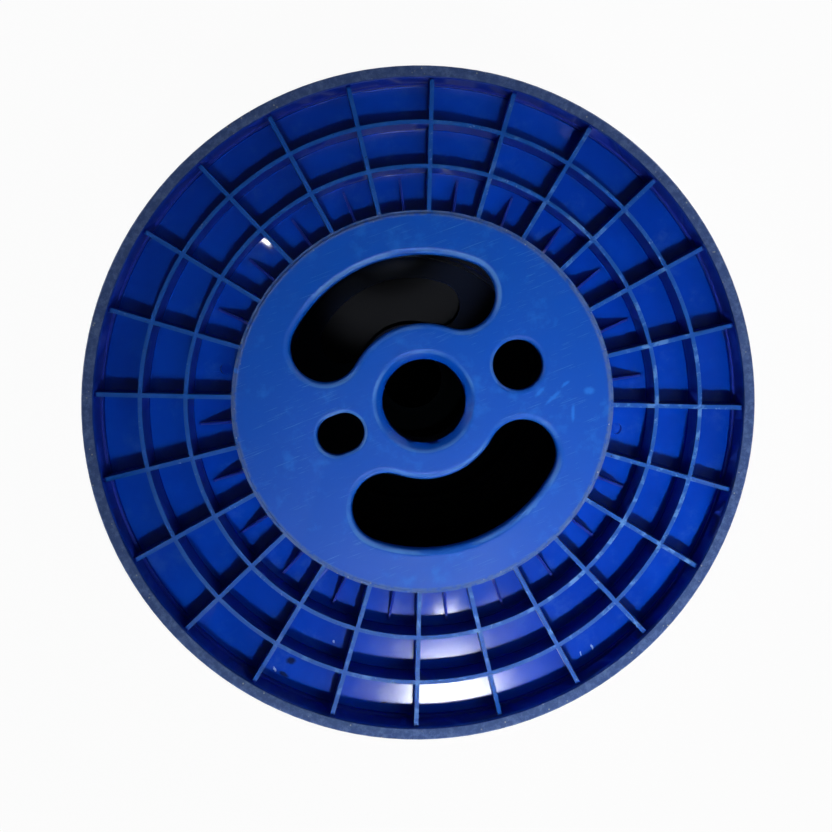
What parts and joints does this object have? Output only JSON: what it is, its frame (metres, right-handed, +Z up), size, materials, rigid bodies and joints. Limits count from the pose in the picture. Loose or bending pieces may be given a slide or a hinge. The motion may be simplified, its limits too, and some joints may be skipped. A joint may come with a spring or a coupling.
{
  "type": "plastic wire spool",
  "caption": "Ribbed plastic spool for wire: flanges with deep open cells, a tubular barrel, a centre bore, drive holes and curved hand holes.",
  "frame": {"origin": "middle of the face that the spool stands on, on its axis", "axes": "+Z up along the spool's axis; +X through the round drive holes; the hand holes lie on +Y and -Y"},
  "size_m": [0.4, 0.4, 0.3],
  "materials": {
    "upper_flange": "blue moulded polystyrene, glossy in the cells, scuffed on the rim and hub",
    "lower_flange": "blue moulded polystyrene, glossy in the cells, scuffed on the rim and hub",
    "barrel": "blue moulded plastic, satin"
  },
  "bodies": {
    "root": {"upper_flange": "upper_flange", "lower_flange": "lower_flange", "barrel": "barrel"}
  },
  "joints": []
}
